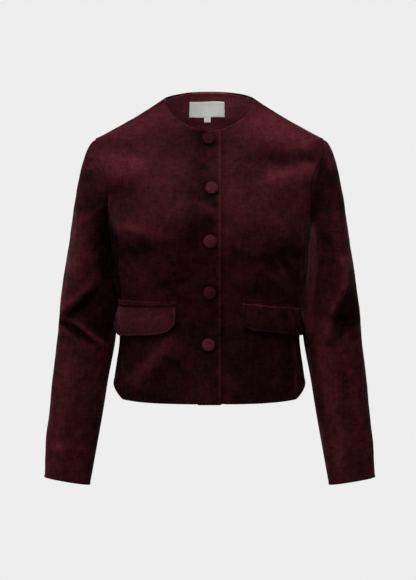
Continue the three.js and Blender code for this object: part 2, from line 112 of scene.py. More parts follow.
WIDTHS = table("z half", [
    (-70, 197), (-100, 211), (-130, 205), (-150, 198), (-170, 190), (-200, 180), (-225, 176),
    (-250, 172), (-307, 168), (-360, 160), (-420, 158), (-460, 163), (-511, 171),
])

DEPTHS = table("z front back round", [
    (6, 16, 58, 2), (0, 20, 62, 2), (-20, 34, 72, 2.1), (-55, 51, 86, 2.2), (-100, 76, 99, 2.3),
    (-150, 105, 108, 2.3), (-205, 127, 110, 2.4), (-300, 113, 95, 2.5), (-374, 101, 83, 2.6),
    (-450, 110, 100, 2.7), (-511, 122, 112, 2.8),
])

SLEEVES = table("z outer inner y depth lean bend", [
    (-248, 244, 173.4, 2, 138, 3, 0),
    (-305, 254, 169.2, 4, 134, 4, 0),
    (-361, 262, 161.4, 6, 124, 4, 1),
    (-417, 267.5, 165, 5, 116, 5, 5),
    (-487, 275, 178, -5, 106, 6.6, 10),
    (-543, 281, 187, -15, 98, 6.6, 11),
    (-599, 287, 197, -27, 88, 7.5, 11),
    (-668, 291, 209.5, -41, 77, 10, 11),
])

# Folds of the body, by face. A positive depth is a ridge and a negative one a trough. The first six in front
# and the first four behind are in the solids too, where the front's second and third lie a little lower.
# The rest are the finer creases.
BODY_FOLDS = grouped("face x1 z1 x2 z2 width depth", {(FRONT,): [
    (116, -276, 151, -322, 9, -3), (176, -116, 95, -131, 12, 3), (176, -96, 84, -86, 11, -3),
    (-170, -94, -112, -120, 12, 3), (-158, -151, -98, -126, 11, -3), (-68, -420, -128, -500, 18, 4),
    (126, -264, 156, -302, 5, 2.2), (96, -292, 140, -332, 6, 1.6), (136, -250, 158, -276, 5, -1.6),
    (-14, -197, 12, -203, 6, -2.2), (-20, -166, 10, -187, 4.5, 1.8), (-26, -182, -16, -206, 3.5, 1.0),
    (-156, -214, -104, -222, 7, 2.2), (-158, -232, -128, -270, 8, -1.8), (150, -176, 128, -236, 9, 1.5),
    (-92, -262, -60, -330, 15, 1.8), (74, -214, 40, -286, 16, -1.6), (-40, -150, -70, -232, 17, -1.7),
    (-26, -96, -60, -150, 9, 1.3), (52, -80, 96, -150, 11, -1.3), (118, -430, 138, -500, 10, 1.8),
    (92, -424, 104, -505, 12, -1.8), (-148, -424, -156, -500, 9, 1.5), (-30, -440, -44, -505, 12, -1.3),
    (40, -430, 50, -505, 13, 1.5), (8, -360, 34, -420, 9, -1.4), (-26, -300, -90, -318, 8, -1.3),
    (44, -250, 120, -262, 10, 1.2),
], (BACK,): [
    (120, -352, 30, -366, 12, -4), (-126, -372, -24, -390, 12, -4), (132, -158, 78, -228, 13, -3),
    (-136, -156, -86, -214, 13, -3), (96, -330, 10, -340, 7, 1.5), (-96, -346, -20, -358, 7, 1.6),
    (60, -392, 118, -404, 9, 1.7), (-60, -412, -118, -420, 9, 1.5), (128, -214, 110, -300, 13, 1.8),
    (-134, -206, -112, -296, 13, 1.8), (8, -60, 2, -200, 18, -1.4), (44, -430, 52, -505, 16, 1.6),
    (-70, -432, -84, -505, 14, -1.5),
]})

# Folds of the sleeves, by arm and face, with places given as on the wearer's left arm
SLEEVE_FOLDS = grouped("arm face x1 z1 x2 z2 width depth", {(RIGHT, FRONT): [
    (198, -314, 266, -380, 9, 4.5), (196, -343, 264, -391, 10, -5), (262, -383, 226, -385, 5.5, 3.6),
    (232, -384, 176, -432, 6.5, 4.4), (262, -394, 222, -402, 6, -3), (224, -404, 190, -440, 7, -2),
    (186, -352, 222, -380, 5, -1.8), (240, -440, 252, -560, 9, 1.2), (196, -450, 206, -560, 6, -1.6),
    (226, -560, 262, -604, 8, -1.2), (206, -180, 190, -262, 8, -2.2), (222, -168, 226, -262, 12, 1.8),
    (214, -262, 196, -318, 7, 1.4),
], (LEFT, FRONT): [
    (228, -268, 230, -330, 8, 4.6), (231, -322, 208, -374, 7, 4.2), (246, -296, 240, -352, 10, -3),
    (218, -372, 258, -428, 11, -5.5), (254, -360, 226, -372, 6, 2.2), (198, -398, 232, -440, 8, 3),
    (224, -444, 262, -462, 7, 2.4), (214, -470, 250, -500, 9, -2.4), (226, -520, 266, -556, 8, 2),
    (222, -560, 262, -604, 8, -1.6), (196, -440, 210, -580, 5, -1.6), (244, -590, 262, -644, 8, 1.3),
    (212, -186, 196, -268, 8, -2.2), (228, -160, 238, -256, 13, 1.8),
], (RIGHT, BACK): [
    (250, -352, 190, -392, 12, -5), (254, -384, 196, -420, 8, 3.2), (246, -330, 200, -352, 8, 2.2),
    (240, -210, 230, -320, 14, 1.6), (250, -470, 236, -580, 12, -1.6),
], (LEFT, BACK): [
    (252, -366, 190, -398, 12, -5), (256, -398, 196, -430, 8, 3), (248, -336, 204, -362, 8, 2.4),
    (236, -200, 232, -318, 15, 1.6), (248, -480, 240, -590, 12, -1.6),
]})

# Painted shade in three-cornered places at the sleeves' elbows: the arm's side, the corners and how light
SLEEVE_WEDGE_SHADE = table("arm x1 z1 x2 z2 x3 z3 gain", [
    (RIGHT, 272, -390, 184, -311, 172, -436, -0.5),
    (LEFT, 228, -296, 278, -380, 198, -436, -0.3),
])

# Strokes of painted highlight and painted shade on the front of the sleeves, laid out as the folds are
SLEEVE_FOLD_SHADING = grouped("arm x1 z1 x2 z2 width depth", {(RIGHT,): [
    (262, -381, 226, -382, 6, 0.35), (232, -382, 174, -432, 7, 0.6), (200, -309, 262, -372, 6, 0.2),
    (208, -120, 216, -196, 24, -0.2), (222, -190, 228, -290, 14, 0.18), (240, -250, 256, -352, 10, 0.12),
    (240, -420, 268, -610, 18, 0.1), (184, -180, 172, -330, 16, -0.3), (246, -250, 262, -330, 8, -0.16),
    (238, -180, 246, -250, 8, -0.16), (262, -590, 284, -664, 14, 0.2), (222, -590, 240, -664, 14, 0.14),
    (236, -272, 250, -300, 14, 0.2),
], (LEFT,): [
    (230, -262, 231, -326, 6, 0.5), (232, -322, 207, -376, 7, 0.45), (207, -376, 200, -410, 9, 0.3),
    (198, -400, 226, -660, 14, 0.36), (184, -370, 204, -540, 9, 0.22), (240, -440, 262, -560, 10, 0.12),
    (214, -110, 232, -190, 26, -0.2), (256, -330, 288, -600, 18, -0.12), (180, -215, 169, -330, 5, 0.34),
    (196, -96, 184, -190, 9, -0.36), (206, -110, 198, -290, 13, -0.16), (190, -560, 204, -660, 12, 0.24),
    (242, -476, 252, -540, 12, -0.14), (190, -236, 178, -350, 3, 0.2), (172, -320, 179, -400, 3.5, 0.28),
]})

# Painted highlights and painted shade, together with the pile's own lighter and darker patches, by face:
# where, half width and half height, and how light
PAINTED_LIGHT_AND_SHADE = grouped("face x z wide high gain", {(FRONT,): [
    (-160, -52, 34, 16, 0.3), (-152, -106, 44, 15, 0.55), (110, -34, 56, 24, 0.55),
    (136, -62, 56, 11, 0.28), (-98, -30, 38, 18, 0.28), (168, -150, 20, 24, -0.12),
    (160, -200, 18, 60, 0.1), (-150, -214, 50, 14, 0.2), (-104, -222, 40, 12, 0.16),
    (56, -214, 50, 13, 0.12), (-152, -256, 40, 20, -0.12), (124, -258, 40, 20, -0.12),
    (-12, -112, 16, 60, -0.14), (-20, -202, 30, 26, -0.26), (152, -74, 26, 10, 0.26),
    (128, -20, 40, 10, 0.22), (169, -74, 14, 9, 0.3), (150, -50, 24, 9, 0.2), (11, -170, 5.5, 5.5, -0.22),
    (-22, -146, 22, 34, -0.14), (-80, -236, 34, 14, -0.12), (164, -126, 14, 9, 0.24),
    (-152, -122, 34, 12, 0.24), (-30, -226, 36, 26, -0.2), (-120, -238, 44, 16, -0.14),
    (4, -160, 14, 20, -0.14), (-15, -58, 17, 13, -0.34), (132, -300, 50, 80, -0.05),
    (-58, -80, 60, 34, -0.08), (-60, -300, 30, 40, -0.06), (12, -74, 24, 16, -0.15),
    (-24, -384, 66, 26, -0.14), (5, -238, 22, 16, 0.14), (-130, -404, 40, 12, -0.14),
    (33, -488, 14, 26, 0.16), (-10, -494, 24, 22, 0.16), (95, -450, 50, 60, -0.08),
], (BACK,): [
    (-90, -120, 70, 40, 0.25), (80, -160, 60, 60, 0.2), (20, -430, 90, 50, 0.2), (-60, -330, 60, 50, -0.15),
]})

# Strokes of painted highlight along the folds' ridges and painted shade along their troughs, on the body,
# laid out as the folds are
BODY_FOLD_SHADING = grouped("face x1 z1 x2 z2 width depth", {(FRONT,): [
    (-176, -156, -124, -142, 15, -0.3), (50, -94, 190, -98, 13, -0.26), (96, -131, 190, -115, 12, 0.66),
    (111, -264, 136, -302, 4, 0.34), (-60, -396, -142, -490, 12, 0.3), (-18, -168, 10, -187, 5, 0.25),
    (-14, -199, 12, -204, 8, -0.22), (147, -416, 149, -500, 3, 0.22),
], (BACK,): [
    (120, -352, 30, -366, 10, -0.2), (-126, -372, -24, -390, 10, -0.2), (96, -330, 10, -340, 7, 0.2),
    (-96, -346, -20, -358, 7, 0.2),
]})


# Numbers and curves

def mix(start, end, t):
    """The value a share t of the way from start to end."""
    return start + (end - start) * t


def smooth_step(t):
    """0 below 0, 1 above 1, and 3 s^2 - 2 s^3 between them."""
    s = np.clip(t, 0, 1)
    return s * s * (3 - 2 * s)


def bell(t):
    """exp(-t^2): 1 at 0, and close to 0 beyond 2."""
    return np.exp(-(t ** 2))


def unit(vectors):
    """The vectors made one long."""
    return vectors / np.maximum(np.linalg.norm(vectors, axis=-1, keepdims=True), 1e-9)


def hermite(t, start, end, start_slope, end_slope):
    """A cubic from one value to another that starts and ends with the given slopes."""
    rise = t * t * (3 - 2 * t)
    return start + (end - start) * rise + start_slope * t * (1 - t) ** 2 - end_slope * t * t * (1 - t)


def along(rows, column, z):
    """Reads a column of a table at heights z, on a smooth curve through its rows."""
    heights, values = rows["z"], rows[column]
    last = len(heights) - 1
    above = np.maximum(np.arange(last + 1) - 1, 0)
    below = np.minimum(np.arange(last + 1) + 1, last)
    slopes = (values[below] - values[above]) / (heights[below] - heights[above])
    i = np.clip(np.searchsorted(-heights, -np.asarray(z, float)) - 1, 0, last - 1)
    span = heights[i + 1] - heights[i]
    t = np.clip((z - heights[i]) / span, 0, 1)
    return hermite(t, values[i], values[i + 1], slopes[i] * span, slopes[i + 1] * span)


def spaced(length, step, edge=2.4):
    """Shares from 0 to 1 along a length: close together at both ends for a rounded edge, then even."""
    near = np.array([0.0, 0.12, 0.4, 0.8, 1.4]) * edge / 2.4
    count = max(2, round((length - 2 * edge) / step))
    middle = np.linspace(edge, length - edge, count + 1)
    return np.concatenate([near, middle, length - near[::-1]]) / length


def wavy(x, y, z, scale, seed):
    """A soft unevenness, mostly from -1 to 1: a sum of slanted sine waves in x, y and z, always the same."""
    rng = np.random.default_rng(seed)
    total = np.zeros(np.broadcast(x, y, z).shape)
    waves = 9
    for _ in range(waves):
        direction = rng.normal(size=3)
        direction *= rng.uniform(0.5, 1.6) * 2 * math.pi / (scale * np.linalg.norm(direction))
        phase = rng.uniform(0, 2 * math.pi)
        total += np.sin(direction[0] * x + direction[1] * y + direction[2] * z + phase)
    return total / math.sqrt(waves) / 1.6


# The body form: at each height a superellipse with its own depth in front and behind

def shoulder_x(z):
    """The shoulder line: neck + reach * s - 4 * hollow * s * (1 - s), where s is the share of its drop."""
    s = -z / SHOULDER_DROP
    return NECK_HALF + SHOULDER_REACH * s - 4 * SHOULDER_HOLLOW * s * (1 - s)


def shoulder_z(x):
    """The same line the other way round."""
    start = SHOULDER_REACH - 4 * SHOULDER_HOLLOW
    root = np.sqrt(start ** 2 + 16 * SHOULDER_HOLLOW * np.maximum(x - NECK_HALF, 0))
    return -SHOULDER_DROP * (root - start) / (8 * SHOULDER_HOLLOW)


def half_width(z):
    """Half of the form's width: on the shoulder line, and below the shoulder point from the table."""
    return np.where(z > -SHOULDER_DROP, shoulder_x(z), along(WIDTHS, "half", z))


def form_depth(face, z):
    """How far the form's middle reaches on a face."""
    return np.where(face < 0, along(DEPTHS, "front", z), along(DEPTHS, "back", z))


def superellipse_rest(size, half, power):
    """(1 - |size / half|^power)^(1 / power), the other coordinate's share on a superellipse."""
    return np.maximum(0, 1 - (np.abs(size) / half) ** power) ** (1 / power)


def form_y(face, x, z):
    """The form's skin at x and z: its depth times the superellipse's rest."""
    return face * form_depth(face, z) * superellipse_rest(x, half_width(z), along(DEPTHS, "round", z))


def form_x(face, y, z):
    """The form's skin at y and z: its half width times the superellipse's rest."""
    return half_width(z) * superellipse_rest(y, form_depth(face, z), along(DEPTHS, "round", z))


def form_normal(face, x, y, z):
    """The gradient of |x/half|^n + |y/depth|^n, made one long."""
    n = along(DEPTHS, "round", z)

    def level_sum(level):
        return (np.abs(x) / half_width(level)) ** n + (np.abs(y) / form_depth(face, level)) ** n

    def slope(value, size):
        return n * np.sign(value) * (np.abs(value) / size) ** (n - 1) / size

    up = level_sum(z + 0.5) - level_sum(z - 0.5)
    across, deep = slope(x, half_width(z)), slope(y, form_depth(face, z))
    return unit(np.stack(np.broadcast_arrays(across, deep, up), axis=-1))


def fold_lift(folds, i, x, z):
    """The lift of one fold: a bell across its straight line, fading at both ends."""
    run_x, run_z = folds["x2"][i] - folds["x1"][i], folds["z2"][i] - folds["z1"][i]
    t = ((x - folds["x1"][i]) * run_x + (z - folds["z1"][i]) * run_z) / (run_x ** 2 + run_z ** 2)
    near = np.clip(t, 0, 1)
    gap = np.hypot(x - folds["x1"][i] - run_x * near, z - folds["z1"][i] - run_z * near)
    ends = smooth_step(np.minimum(near, 1 - near) * 5 + 0.3)
    return folds["depth"][i] * ends * bell(gap / folds["width"][i])


def with_folds(total, folds, x, y, z, fade):
    """Adds every fold of the face that a point lies on, each fading over the last fade mm before the side."""
    for i, face in enumerate(folds["face"]):
        total += fold_lift(folds, i, x, z) * smooth_step(face * y / fade)
    return total


def body_lift(x, y, z):
    """All folds of the face that a point lies on, the pull round each button and a faint unevenness."""
    total = 0.45 * wavy(x, y, z, 70, 3) + 0.22 * wavy(x, y, z, 26, 4)
    total = with_folds(total, BODY_FOLDS, x, y, z, 30)
    for bx, bz in BUTTONS:
        total -= 0.9 * bell(np.hypot(x - bx, z - bz) / 15) * (y < 0)
    return total


def button_places():
    """Sideways place and height of each button: evenly spaced along the cloth, down from the neck edge."""
    levels = np.arange(-FRONT_NECK_DROP, HEM, -1.0)
    depths = along(DEPTHS, "front", levels)
    walked = np.append(0, np.hypot(np.diff(levels), np.diff(depths)).cumsum())
    distances = FIRST_BUTTON_DROP + BUTTON_PITCH * np.arange(len(BUTTON_SWAY))
    return list(zip(BUTTON_SWAY, np.interp(distances, walked, levels)))


BUTTONS = button_places()


def body_points(face, x, y, z, lift):
    """Points of the body's cloth and their normals, lifted off the form along the normal."""
    normals = form_normal(face, x, y, z)
    points = np.stack(np.broadcast_arrays(x, y, z), axis=-1)
    return points + normals * (body_lift(x, y, z) + lift)[..., None], normals


# The armhole and the panels' edges

def armhole(angle):
    """The armhole on the form's skin: 0 at the shoulder, a quarter turn at the front, half under the arm."""
    z = ARMHOLE_MIDDLE + ARMHOLE_HALF_HEIGHT * np.cos(angle)
    spread = np.where(np.cos(angle) > 0, 2, 1)
    y = ARMHOLE_HALF_DEPTH * np.abs(np.sin(angle)) ** spread
    face = np.where(np.sin(angle) >= 0, FRONT, BACK)
    return np.stack([form_x(face, y, z), face * y, z], axis=-1)


def seam_table():
    """Where the seams between the panels run: from the armhole's widest points down to the hem."""
    front, back = (armhole(np.array([turn]))[0, 0] for turn in (math.pi / 2, 1.5 * math.pi))
    return table("z front back", [
        (ARMHOLE_MIDDLE, front, back), (-213, 160, 152), (-300, 155, 139), (-374, 150, 129),
        (-450, 152, 133), (-511, 150, 138),
    ])


SEAMS = seam_table()


def panel_edge(face, z):
    """Sideways place of a panel's outer edge: its seam, and above the armhole's widest point the armhole."""
    seam = along(SEAMS, "front" if face < 0 else "back", np.minimum(z, ARMHOLE_MIDDLE))
    angle = np.arccos(np.clip((z - ARMHOLE_MIDDLE) / ARMHOLE_HALF_HEIGHT, 0, 1))
    return np.where(z <= ARMHOLE_MIDDLE, seam, armhole(-face * angle)[..., 0])


def top_edge(face, x):
    """Height of a panel's top edge: the neckline, then the shoulder seam."""
    share = np.clip(np.abs(x) / NECK_HALF, 0, 1)
    if face < 0:
        neck = -FRONT_NECK_DROP * (1 - share ** FRONT_NECK_ROUND) ** (1 / FRONT_NECK_ROUND)
    else:
        neck = BACK_NECK_RISE * (1 - share ** BACK_NECK_ROUND)
    return np.where(np.abs(x) > NECK_HALF, shoulder_z(np.abs(x)), neck)


def panel_surface(face, tops, rows, hem):
    """Places of a front or back panel. tops are places on the top edge; rows run from 0 at the hem to 1 at
    the armhole's middle and 2 at the top edge."""
    low = mix(hem, ARMHOLE_MIDDLE, np.minimum(rows, 1)[:, None])
    rise = 1 - (1 - np.clip(rows - 1, 0, 1)[:, None]) ** 2
    z = mix(low, top_edge(face, tops), rise)
    level = np.where(rise > 0, mix(ARMHOLE_MIDDLE, -SHOULDER_DROP, rise), low)
    follow = np.maximum(0, (np.abs(tops) - FOLLOW_FROM) / (SHOULDER_HALF - FOLLOW_FROM))
    x = tops + np.sign(tops) * (panel_edge(face, level) - SHOULDER_HALF) * follow
    return x, form_y(face, x, z), z


# Meshes

def put(name, data):
    """A new object in the scene."""
    made = bpy.data.objects.new(name, data)
    bpy.context.scene.collection.objects.link(made)
    return made


def new_mesh(name, points, faces, material, nap=None):
    """A mesh object from points in millimetres and faces of four corners, turned to face outwards."""
    points = np.asarray(points, float).reshape(-1, 3)
    a, b, c, d = (points[faces[:, k]] for k in range(4))
    volume = (np.cross(a, b) * c).sum() + (np.cross(a, c) * d).sum()
    if volume < 0:
        faces = faces[:, ::-1]
    mesh = bpy.data.meshes.new(name)
    mesh.vertices.add(len(points))
    mesh.vertices.foreach_set("co", (points * MM).astype(np.float32).ravel())
    mesh.loops.add(faces.size)
    mesh.loops.foreach_set("vertex_index", faces.astype(np.int32).ravel())
    mesh.polygons.add(len(faces))
    mesh.polygons.foreach_set("loop_start", np.arange(0, faces.size, 4, dtype=np.int32))
    mesh.update(calc_edges=True)
    mesh.polygons.foreach_set("use_smooth", np.ones(len(faces), bool))
    if nap is not None:
        attribute = mesh.attributes.new("nap", "FLOAT", "POINT")
        attribute.data.foreach_set("value", np.asarray(nap, np.float32).ravel())
    mesh.materials.append(material)
    mesh.validate()
    return put(name, mesh)


def grid_faces(rows, columns, start=0, wraps=False):
    """Four-cornered faces of a grid of points, counted row by row."""
    r, c = np.meshgrid(np.arange(rows - 1), np.arange(columns if wraps else columns - 1), indexing="ij")
    right = (c + 1) % columns
    corners = [r * columns + c, r * columns + right, (r + 1) * columns + right, (r + 1) * columns + c]
    return start + np.stack(corners, axis=-1).reshape(-1, 4)


def wall(name, middle, half, material, nap, wraps=False):
    """A closed wall: a grid half a thickness out from the middle, one half a thickness in, and its rims."""
    outer, inner = middle + half, middle - half
    rows, columns = middle.shape[:2]
    size = rows * columns
    front = grid_faces(rows, columns, 0, wraps)
    back = grid_faces(rows, columns, size, wraps)[:, ::-1]
    index = np.arange(size).reshape(rows, columns)
    if wraps:
        rims = [np.append(index[0, ::-1], index[0, -1]), np.append(index[-1], index[-1, 0])]
    else:
        loop = np.concatenate([index[0, ::-1], index[1:, 0], index[-1, 1:], index[-2::-1, -1]])
        rims = [loop]
    strips = [np.stack([rim[1:], rim[:-1], rim[:-1] + size, rim[1:] + size], axis=-1) for rim in rims]
    points = np.concatenate([outer.reshape(-1, 3), inner.reshape(-1, 3)])
    return new_mesh(name, points, np.concatenate([front, back, *strips]), material, np.tile(nap.ravel(), 2))


def edge_distances(x, y, z):
    """How far each point of a grid lies from its four edges and from the nearest, along rows and columns."""
    points = np.stack([x, y, z], axis=-1)
    across = np.linalg.norm(np.diff(points, axis=1), axis=-1).cumsum(axis=1)
    across = np.concatenate([np.zeros((len(points), 1)), across], axis=1)
    up = np.linalg.norm(np.diff(points, axis=0), axis=-1).cumsum(axis=0)
    up = np.concatenate([np.zeros((1, points.shape[1])), up], axis=0)
    gaps = {"left": across, "right": across[:, -1:] - across, "bottom": up, "top": up[-1:] - up}
    return gaps | {"nearest": np.minimum.reduce(list(gaps.values()))}


def edge_round(distance, radius):
    """Half thickness at a distance from an edge, as a share: a quarter circle from the edge to the radius."""
    t = np.clip(distance / radius, 0, 1)
    return 0.2 + 0.8 * np.sqrt(1 - (1 - t) ** 2)


def turned_edge(distance, width):
    """Relief of an edge turned under: a soft roll, then a shallow line where it is sewn down."""
    return 0.55 * bell((distance - width / 2) / (width / 2.4)) - 0.45 * bell((distance - width) / 0.9)


def seam_edge(distance, depth=1.5):
    """Relief at a seam: the cloth dips into it and stands slightly full beside it."""
    return depth * (-np.exp(-distance / 1.9) + 0.27 * bell((distance - 5.5) / 3))


def edge_highlight_and_groove_shade(distance):
    """Painted highlight on an edge's roll, and painted shade in the line where it is sewn down."""
    return 0.3 * bell((distance - 2.4) / 1.8) - 0.3 * bell((distance - 5.6) / 1.3)


def nap_shade(x, y, z, seed):
    """How light the nap is painted: patches and strokes of painted highlight and painted shade on the face
    that a point lies on, painted shade low down and in a ring beside each button, over a soft unevenness."""
    total = NAP_GROUND + 0.05 * wavy(x, y, z, 95, seed) + 0.06 * wavy(x, y, z, 34, seed + 1)
    # Painted shade lower down the body
    for level, run, darker in PAINTED_SHADE_FALLS:
        total -= darker * smooth_step((level - z) / run)
    # Patches of painted highlight and painted shade
    for i, face in enumerate(PAINTED_LIGHT_AND_SHADE["face"]):
        gap = ((x - PAINTED_LIGHT_AND_SHADE["x"][i]) / PAINTED_LIGHT_AND_SHADE["wide"][i]) ** 2 + ((z - PAINTED_LIGHT_AND_SHADE["z"][i]) / PAINTED_LIGHT_AND_SHADE["high"][i]) ** 2
        total += PAINTED_LIGHT_AND_SHADE["gain"][i] * np.exp(-gap) * smooth_step(face * y / 20)
    # Painted shade in a ring round each button
    for bx, bz in BUTTONS:
        beside = (np.hypot(x - bx, z - bz) - BUTTON_RADIUS - 1.5) / 3
        total -= 0.16 * bell(beside) * (y < 0)
    return with_folds(total, BODY_FOLD_SHADING, x, y, z, 20)


def cloth_wall(name, surface, relief, thin, material, seed, tone_and_painted_light=0.0):
    """A wall of cloth on the body form. relief lifts both faces; thin is the share of its thickness left."""
    face, x, y, z = surface
    middle, normals = body_points(face, x, y, z, relief - CLOTH / 2)
    half = normals * (CLOTH / 2 * thin)[..., None]
    # The added nap holds painted highlights at finished edges and painted shade where the sleeve rests
    return wall(name, middle, half, material, nap_shade(x, y, z, seed) + tone_and_painted_light)


# The body's panels

def panel_rows():
    """Rows of a front or back panel, from the hem to the armhole's middle and on to the top edge."""
    straight = spaced(ARMHOLE_MIDDLE - HEM, STEP)
    straight = straight[straight < 0.997]
    yoke = 1 + np.linspace(0, 1, YOKE_ROWS) ** 0.9
    return np.concatenate([straight, yoke])


def past_neck(tops):
    """0 along the neckline and 1 along the shoulder seam, changing over 4 mm at the side neck point."""
    return smooth_step((np.abs(tops) - NECK_HALF + 2) / 4)


def front_panel(name, side, material):
    """A front: the right one lies on top past the middle, and the left one sinks under it."""
    width = OVERLAP + SHOULDER_HALF
    across = spaced(width, STEP) * width - OVERLAP
    across = np.unique(np.round(np.append(across, NECK_HALF), 4))
    tops = side * across
    under = side == LEFT
    lower = 2 * smooth_step((OVERLAP + 2 - across) / 3) if under else np.zeros_like(across)
    x, y, z = panel_surface(FRONT, tops, panel_rows(), HEM - lower)
    gaps = edge_distances(x, y, z)
    outside = past_neck(tops)
    seam_depth = mix(0.9, 0.35 if under else 0.12, np.clip((ARMHOLE_MIDDLE - z) / 20, 0, 1))
    relief = turned_edge(gaps["bottom"], HEM_TURN) + seam_edge(gaps["right"], seam_depth)
    relief += mix(turned_edge(gaps["top"], NECK_TURN), seam_edge(gaps["top"]), outside)
    # Painted highlight along the rolled front and neck edges, painted shade in their stitch lines
    tone_and_painted_light = np.maximum(edge_highlight_and_groove_shade(gaps["left"]), edge_highlight_and_groove_shade(gaps["top"]) * (1 - outside))
    if under:
        relief -= (CLOTH + 0.9) * smooth_step((FOLLOW_FROM - across) / 8)
    else:
        relief += turned_edge(gaps["left"], FRONT_TURN)
    thin = edge_round(gaps["nearest"], EDGE_ROUND)
    return cloth_wall(name, (FRONT, x, y, z), relief, thin, material, 11, tone_and_painted_light)


def back_panel(material):
    """The back, in one piece."""
    width = 2 * SHOULDER_HALF
    tops = spaced(width, STEP) * width - SHOULDER_HALF
    tops = np.unique(np.round(np.concatenate([tops, [-NECK_HALF, NECK_HALF]]), 4))
    x, y, z = panel_surface(BACK, tops, panel_rows(), HEM)
    gaps = edge_distances(x, y, z)
    relief = seam_edge(gaps["left"]) + seam_edge(gaps["right"]) + turned_edge(gaps["bottom"], HEM_TURN)
    relief += mix(turned_edge(gaps["top"], NECK_TURN), seam_edge(gaps["top"], 0.8), past_neck(tops))
    thin = edge_round(gaps["nearest"], EDGE_ROUND)
    return cloth_wall("back_panel", (BACK, x, y, z), relief, thin, material, 12)


def angle_of_x(x, z):
    """The angle from the form's side at which its skin reaches x: cos(angle) = (x / half)^(n / 2)."""
    return np.arccos(np.clip((x / half_width(z)) ** (along(DEPTHS, "round", z) / 2), 0, 1))


def angle_of_y(face, y, z):
    """The angle at which it reaches y: sin(angle) = |y / depth|^(n / 2)."""
    return np.arcsin(np.clip((np.abs(y) / form_depth(face, z)) ** (along(DEPTHS, "round", z) / 2), 0, 1))


def place_at(face, side, turn, z):
    """The sideways place and depth of the form's skin at an angle: the two formulas above turned round."""
    power = 2 / along(DEPTHS, "round", z)
    return side * half_width(z) * np.cos(turn) ** power, face * form_depth(face, z) * np.sin(turn) ** power


SIDE_GIRTH = 150
# Painted shade on each side panel where the sleeve rests against it: darker on the right, a little lighter on
# the left
SIDE_SHADING = {RIGHT: -0.45, LEFT: 0.12}


def side_panel(name, side, material):
    """The panel under the arm, from the front seam round to the back seam and up to the armhole."""
    share = spaced(SIDE_GIRTH, STEP)[None, :] * 2 - 1
    up = spaced(ARMHOLE_MIDDLE - HEM, STEP)[:, None]
    dip = np.sin(share * math.pi / 2)
    face = np.where(share < 0, FRONT, BACK)
    top = ARMHOLE_MIDDLE - ARMHOLE_HALF_HEIGHT * np.sqrt(np.maximum(0, 1 - dip ** 2))
    z = mix(HEM + SIDE_HEM_RISE * (1 - share ** 2), top, up)

    def seam_angle(level):
        edge = np.where(face < 0, panel_edge(FRONT, level), panel_edge(BACK, level))
        return angle_of_x(edge, level)

    edge_share = np.clip(angle_of_y(face, ARMHOLE_HALF_DEPTH * dip, top) / seam_angle(top), 0, 1)
    turn = mix(np.abs(share), edge_share, up ** 2) * seam_angle(z)
    x, y = place_at(face, side, turn, z)
    gaps = edge_distances(x, y, z)
    relief = seam_edge(gaps["left"], 0.25) + seam_edge(gaps["right"], 0.6)
    relief += turned_edge(gaps["bottom"], HEM_TURN) + seam_edge(gaps["top"])
    relief += CONTACT * bell(y / 50) * resting(z)
    # Painted shade where the sleeve rests against the side, a little painted light on the left
    shade = SIDE_SHADING[side] * smooth_step(1.6 - np.abs(y) / 60) * resting(z)
    return cloth_wall(name, (face, x, y, z), relief, edge_round(gaps["nearest"], 0.6), material, 13, shade)


# The sleeves

SLEEVE_SQUARENESS = 2 / 2.15
SLEEVE_TOP = SLEEVES["z"][0]
CUFF = SLEEVES["z"][-1]


def squared(wave):
    """A sine or cosine of an oval's angle, pushed a little out so that the oval is squarer."""
    return np.sign(wave) * np.abs(wave) ** SLEEVE_SQUARENESS


def sleeve_oval(angle, z):
    """A point of the sleeve's oval section, square to the sleeve's slanted axis."""
    lean, bend = np.radians(along(SLEEVES, "lean", z)), np.radians(along(SLEEVES, "bend", z))
    outer, inner = along(SLEEVES, "outer", z), along(SLEEVES, "inner", z)
    wide = (outer - inner) / 2 * squared(np.cos(angle))
    deep = along(SLEEVES, "depth", z) / 2 * squared(np.sin(angle))
    x = (outer + inner) / 2 + np.cos(lean) * wide
    y = along(SLEEVES, "y", z) - np.cos(bend) * deep
    return np.stack(np.broadcast_arrays(x, y, z + np.sin(lean) * wide + np.sin(bend) * deep), axis=-1)


def sleeve_head(angle, share):
    """A cubic from the armhole to the first oval, leaving outwards and arriving straight down."""
    start, end = armhole(angle), sleeve_oval(angle, SLEEVE_TOP)
    reach = np.linalg.norm(end - start, axis=-1, keepdims=True)
    droop = np.radians(30 + 17 * (1 - np.cos(angle)))
    leaving = np.stack([np.cos(droop), 0 * droop, -np.sin(droop)], axis=-1) * 0.52 * reach
    arriving = np.array([0.17, 0, -1]) * 1.05 * reach
    return hermite(share[..., None], start, end, leaving, arriving)


# How far the sleeve head is tucked in at the armhole, and how far sleeve and body swell where they touch
TUCK = 1.2
CONTACT = 1.1


def resting(z):
    """Where the sleeve rests against the body: all of the way from under the arm to the pocket."""
    return smooth_step((-190 - z) / 30) * smooth_step((z + 412) / 16)


def armhole_lift(angle):
    """How the body's folds move the armhole's edge, and the form's normals there."""
    edge = armhole(angle)
    x, y, z = np.moveaxis(edge, -1, 0)
    normals = form_normal(np.where(y < 0, FRONT, BACK), x, y, z)
    return normals * body_lift(x, y, z)[..., None], normals


